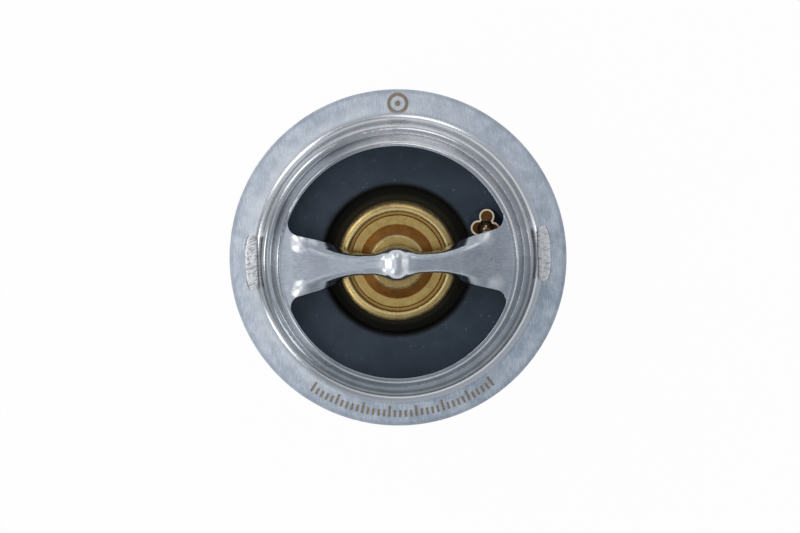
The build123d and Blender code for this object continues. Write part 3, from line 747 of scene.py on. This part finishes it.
def coil_line(wire, radii, ends, turns):
    """Centre line of a spring with one closed turn at each end, in millimetres."""
    low, high = ends
    first = low + wire / 4
    rise = (high - low) - wire / 2 - 2 * wire
    line = []
    for step in range(round((turns + 2) * COIL_STEPS) + 1):
        turn = step / COIL_STEPS
        share = min(max((turn - 1) / turns, 0), 1)
        end_turns = min(turn, 1) + max(turn - 1 - turns, 0)
        radius = radii[0] + (radii[1] - radii[0]) * share
        angle = 2 * math.pi * turn
        height = first + wire * end_turns + rise * share
        line.append(Vector((radius * math.cos(angle), radius * math.sin(angle), height)))
    return line


def coil_mesh(name, wire, radii, ends, turns):
    """Spring as a round tube with its ends ground flat."""
    line = coil_line(wire, radii, ends, turns)
    last = len(line) - 1
    mesh = bmesh.new()
    loops = []
    for index, point in enumerate(line):
        along = (line[min(index + 1, last)] - line[max(index - 1, 0)]).normalized()
        out = Vector((point.x, point.y, 0)).normalized()
        up = along.cross(out).normalized()
        loop = []
        for side in range(COIL_SIDES):
            turn = 2 * math.pi * side / COIL_SIDES
            vertex = point + (out * math.cos(turn) + up * math.sin(turn)) * wire / 2
            vertex.z = min(max(vertex.z, ends[0]), ends[1])
            loop.append(mesh.verts.new(vertex * MM))
        loops.append(loop)
    for one, two in zip(loops, loops[1:]):
        for side in range(COIL_SIDES):
            following = (side + 1) % COIL_SIDES
            mesh.faces.new((one[side], one[following], two[following], two[side]))
    mesh.faces.new(reversed(loops[0]))
    mesh.faces.new(loops[-1])
    return finished(name, mesh)


def springs():
    """The two coil springs, fine enough to look at, in place of the hidden CAD ones."""
    steel = spring_steel()
    for node, wire, radii, ends, turns, body, joint, pressed in COILS:
        piece = coil_mesh(f"{node}_wire", wire, radii, ends, turns)
        piece.data.materials.append(steel.material)
        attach(piece, body)
        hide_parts(node)
        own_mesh(piece)


# ---------------------------------------------------------------- staked tabs
STAKE_STEPS = (24, 84)                  # faces across and along a stake
STAKE_SIDES = (("stake_face_right", 0.0), ("stake_face_left", math.pi))


def stake_height(across, along):
    """Hammered height of a stake's face, in millimetres above the flange."""
    slant = 0.82 * across + 0.57 * along
    blow = noise.noise((slant * 1.6, (along - across) * 0.35, 3.0))
    tear = noise.noise((slant * 4.5, (along - across) * 0.9, 7.0))
    return STAKE_RISE_MM + 0.12 + 0.10 * blow + 0.07 * tear


def stake_point(u, v, side):
    """Place of a stake's face at u, from inside to outside, and v, along it, each from -1 to 1."""
    half_across, half_along = STAKE_SIZE_MM[0] / 2, STAKE_SIZE_MM[1] / 2
    narrowing = STAKE_TAPER * abs(v) ** 4 if u > 0 else 0.3 * abs(v) ** 10
    ragged_side = 1 + 0.08 * noise.noise((v * 9.0, side, 1.0))
    ragged_end = 1 + 0.02 * noise.noise((u * 3.0, side, 5.0))
    across = u * half_across * (1 - narrowing) * ragged_side
    along = v * half_along * (1 - 0.10 * abs(u) ** 6) * ragged_end
    edge = max(abs(u) ** 10, abs(v) ** 40)
    height = stake_height(across, along + 20 * side) * (1 - edge)
    out = Vector((math.cos(side), math.sin(side), 0))
    around = Vector((-math.sin(side), math.cos(side), 0))
    point = out * (TAB_RADIUS_MM + across) + around * along
    return Vector((point.x, point.y, FLANGE_TOP_MM + height)) * MM


def stake_mesh(name, side):
    """Metal of a tab beaten over the flange, with a ragged edge all round."""
    steps_across, steps_along = STAKE_STEPS
    mesh = bmesh.new()
    rows = []
    for i in range(steps_along + 1):
        v = 2 * i / steps_along - 1
        rows.append([mesh.verts.new(stake_point(2 * j / steps_across - 1, v, side))
                     for j in range(steps_across + 1)])
    for one, two in zip(rows, rows[1:]):
        for j in range(steps_across):
            mesh.faces.new((one[j], one[j + 1], two[j + 1], two[j]))
    return finished(name, mesh)


def stakes(steel):
    """A hammered face over each of the two staked tabs."""
    for name, side in STAKE_SIDES:
        piece = stake_mesh(name, side)
        piece.data.materials.append(steel.material)
        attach(piece, "frame")


# ---------------------------------------------------------------- studio
def world():
    """Soft studio that is pale low down, greyer half-way up and cooler overhead."""
    studio = bpy.data.worlds.new("studio")
    bpy.context.scene.world = studio
    studio.use_nodes = True
    nodes, links = studio.node_tree.nodes, studio.node_tree.links
    nodes.clear()
    split = nodes.new("ShaderNodeSeparateXYZ")
    links.new(nodes.new("ShaderNodeTexCoord").outputs["Generated"], split.inputs[0])
    ramp = nodes.new("ShaderNodeValToRGB")
    stops = ramp.color_ramp.elements
    stops.remove(stops[1])
    lowest, *others = STUDIO_HEIGHTS
    stops[0].position, stops[0].color = lowest[0], (*lowest[1], 1)
    for height, colour in others:
        stops.new(height).color = (*colour, 1)
    links.new(split.outputs["Z"], ramp.inputs[0])
    room = nodes.new("ShaderNodeBackground")
    links.new(ramp.outputs[0], room.inputs["Color"])
    room.inputs["Strength"].default_value = 1.0
    output = nodes.new("ShaderNodeOutputWorld")
    links.new(room.outputs[0], output.inputs["Surface"])


def floor_material():
    """White to the camera and in mirrors, with a share of paper that keeps the shadow."""
    material = bpy.data.materials.new("floor_white")
    material.use_nodes = True
    nodes, links = material.node_tree.nodes, material.node_tree.links
    nodes.clear()
    paper = nodes.new("ShaderNodeBsdfDiffuse")
    paper.inputs["Color"].default_value = (*FLOOR_PAPER, 1)
    glow = nodes.new("ShaderNodeEmission")
    glow.inputs["Strength"].default_value = 1.0
    path = nodes.new("ShaderNodeLightPath")
    seen = path.outputs["Is Camera Ray"]
    for ray in ("Is Glossy Ray", "Is Transmission Ray"):
        either = nodes.new("ShaderNodeMath")
        either.operation = "MAXIMUM"
        links.new(seen, either.inputs[0])
        links.new(path.outputs[ray], either.inputs[1])
        seen = either.outputs[0]
    share = nodes.new("ShaderNodeMath")
    share.operation = "MULTIPLY"
    share.inputs[1].default_value = FLOOR_GLOW
    links.new(seen, share.inputs[0])
    both = nodes.new("ShaderNodeMixShader")
    links.new(share.outputs[0], both.inputs[0])
    links.new(paper.outputs[0], both.inputs[1])
    links.new(glow.outputs[0], both.inputs[2])
    output = nodes.new("ShaderNodeOutputMaterial")
    links.new(both.outputs[0], output.inputs["Surface"])
    return material


def floor():
    """White floor that the thermostat stands on, which keeps a faint shadow."""
    mesh = bpy.data.meshes.new("floor")
    reach = FLOOR_REACH
    corners = [(-reach, -reach, 0), (reach, -reach, 0), (reach, reach, 0), (-reach, reach, 0)]
    mesh.from_pydata(corners, [], [(0, 1, 2, 3)])
    mesh.materials.append(floor_material())
    ground = new_object("floor", mesh)


def softbox(name, azimuth, elevation, distance, size, radiance):
    """Area light aimed at the thermostat; a radiance of 1 looks white in a mirror."""
    data = bpy.data.lights.new(name, "AREA")
    data.shape = "RECTANGLE"
    data.size, data.size_y = size
    data.energy = radiance * math.pi * size[0] * size[1]
    lamp = new_object(name, data)
    middle = Vector((0, 0, FLANGE_TOP_MM * MM))
    turn, rise = math.radians(azimuth), math.radians(elevation)
    away = Vector((math.cos(turn) * math.cos(rise), math.sin(turn) * math.cos(rise), math.sin(rise)))
    lamp.location = middle + away * distance
    lamp.rotation_mode = "QUATERNION"
    lamp.rotation_quaternion = (-away).to_track_quat("-Z", "Y")


def camera():
    """Long lens nearly straight above, with the bridge level in the picture."""
    data = bpy.data.cameras.new("camera")
    data.lens = CAMERA_LENS
    view = new_object("camera", data)
    back = Vector((math.tan(CAMERA_SWAY), math.tan(CAMERA_TILT), 1)).normalized()
    up = Vector((math.sin(CAMERA_ROLL), math.cos(CAMERA_ROLL), 0))
    right = up.cross(back).normalized()
    up = back.cross(right)
    turn = Matrix((right, up, back)).transposed().to_4x4()
    view.matrix_world = Matrix.Translation(Vector(AIM_MM) * MM + back * CAMERA_DISTANCE) @ turn
    bpy.context.scene.camera = view


strap = strap_steel()
paint_nodes(strap)
springs()
stakes(strap)
world()
floor()
for lamp_row in LAMPS:
    softbox(*lamp_row)
camera()
bpy.context.scene.view_settings.view_transform = "Standard"
